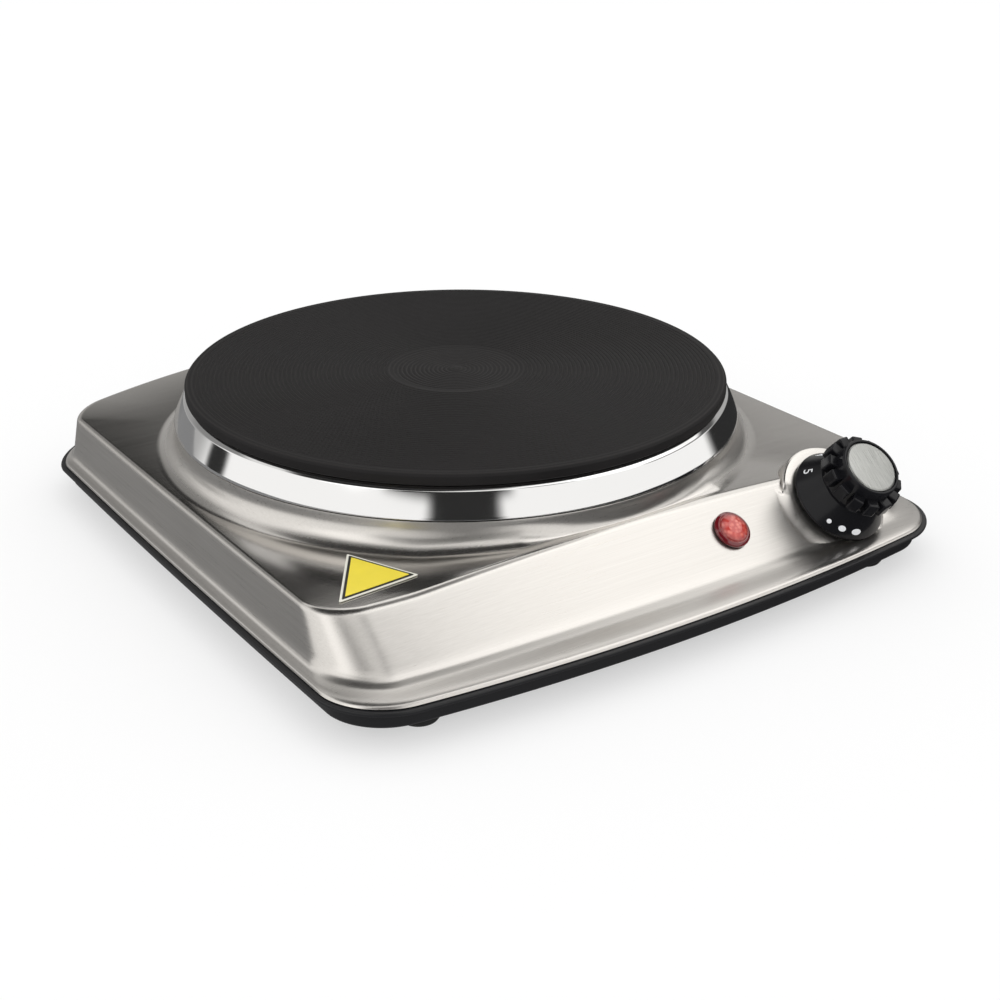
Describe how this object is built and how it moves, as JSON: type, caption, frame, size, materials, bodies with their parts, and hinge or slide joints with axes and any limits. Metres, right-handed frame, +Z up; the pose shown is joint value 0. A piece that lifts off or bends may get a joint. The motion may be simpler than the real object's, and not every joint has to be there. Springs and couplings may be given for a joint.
{
  "type": "hot plate burner",
  "caption": "Single electric hot plate: a round cast-iron plate in a chrome ring on a low steel housing, with a turning thermostat knob and a lamp on the sloping front.",
  "frame": {"origin": "on the table, under the middle of the base flange", "axes": "+Z up out of the cooking plate, -Y towards the user and the control panel, +X to the user's right"},
  "size_m": [0.2308, 0.2588, 0.0514],
  "materials": {
    "housing_steel": "brushed stainless sheet",
    "black_enamel": "satin black paint",
    "plate_iron": "matte heat-resistant coating over fine turned grooves",
    "ring_chrome": "mirror chrome",
    "knob_plastic": "gloss black",
    "cap_metal": "brushed in fine lines",
    "lens_red": "clear red",
    "foot_rubber": "matte black",
    "label_vinyl": "yellow vinyl with a black line inside a white edge",
    "zinc_steel": "bright zinc plate",
    "brass": "plain",
    "ceramic": "unglazed white",
    "wire_sleeve": "silicone sleeve",
    "lamp_glass": "clear"
  },
  "bodies": {
    "chassis": {"top_housing": "housing_steel", "base_pan": "black_enamel", "cooking_plate": "plate_iron", "spill_ring": "ring_chrome", "indicator_lens": "lens_red", "foot_front_left": "foot_rubber", "foot_front_right": "foot_rubber", "foot_rear_left": "foot_rubber", "foot_rear_right": "foot_rubber", "cord_bushing": "foot_rubber", "heat_sticker": "label_vinyl", "foot_screw_front_left": "zinc_steel", "foot_screw_front_right": "zinc_steel", "foot_screw_rear_left": "zinc_steel", "foot_screw_rear_right": "zinc_steel", "housing_post_front_left": "zinc_steel", "housing_post_front_right": "zinc_steel", "housing_post_rear_left": "zinc_steel", "housing_post_rear_right": "zinc_steel", "pan_screw_front_left": "zinc_steel", "pan_screw_front_right": "zinc_steel", "pan_screw_rear_left": "zinc_steel", "pan_screw_rear_right": "zinc_steel", "plate_cover": "zinc_steel", "plate_stud": "zinc_steel", "clamp_bridge": "zinc_steel", "bridge_washer": "zinc_steel", "stud_nut": "zinc_steel", "heat_shield": "zinc_steel", "shield_nut": "zinc_steel", "coil_lead_1": "zinc_steel", "coil_lead_2": "zinc_steel", "bushing_nut": "zinc_steel", "thermostat_frame": "zinc_steel", "indicator_clip": "zinc_steel", "heating_coil": "zinc_steel", "terminal_screw_1": "brass", "terminal_screw_2": "brass", "earth_screw": "brass", "thermostat_bushing": "brass", "fixed_leaf": "brass", "coil_insulation": "ceramic", "terminal_block": "ceramic", "thermal_cutout": "ceramic", "thermostat_stack": "ceramic", "wire_1": "wire_sleeve", "wire_2": "wire_sleeve", "wire_3": "wire_sleeve", "indicator_lamp": "lamp_glass"},
    "knob": {"control_knob": "knob_plastic", "knob_cap": "cap_metal", "thermostat_spindle": "zinc_steel"},
    "plunger": {"push_pin": "ceramic"},
    "leaf": {"contact_leaf": "brass"}
  },
  "joints": [
    {"name": "knob_turn", "type": "hinge", "parent": "chassis", "child": "knob", "pos_m": [0.0766, -0.10404, 0.0219], "axis": [-0.0481, 0.6286, -0.7762], "range_deg": [0, 300]},
    {"name": "pin_slide", "type": "slide", "parent": "chassis", "child": "plunger", "axis": [-0.0481, 0.6286, -0.7762], "range_m": [0, 0.0012]},
    {"name": "leaf_bend", "type": "hinge", "parent": "chassis", "child": "leaf", "pos_m": [0.0562, -0.09956, 0.01449], "axis": [-0.0593, 0.774, 0.6304], "range_deg": [0, 3.4]}
  ],
  "couplings": [
    {"joint": "pin_slide", "follows": "knob_turn", "m_per_rad": 0.000229},
    {"joint": "leaf_bend", "follows": "knob_turn", "ratio": 0.01133}
  ]
}
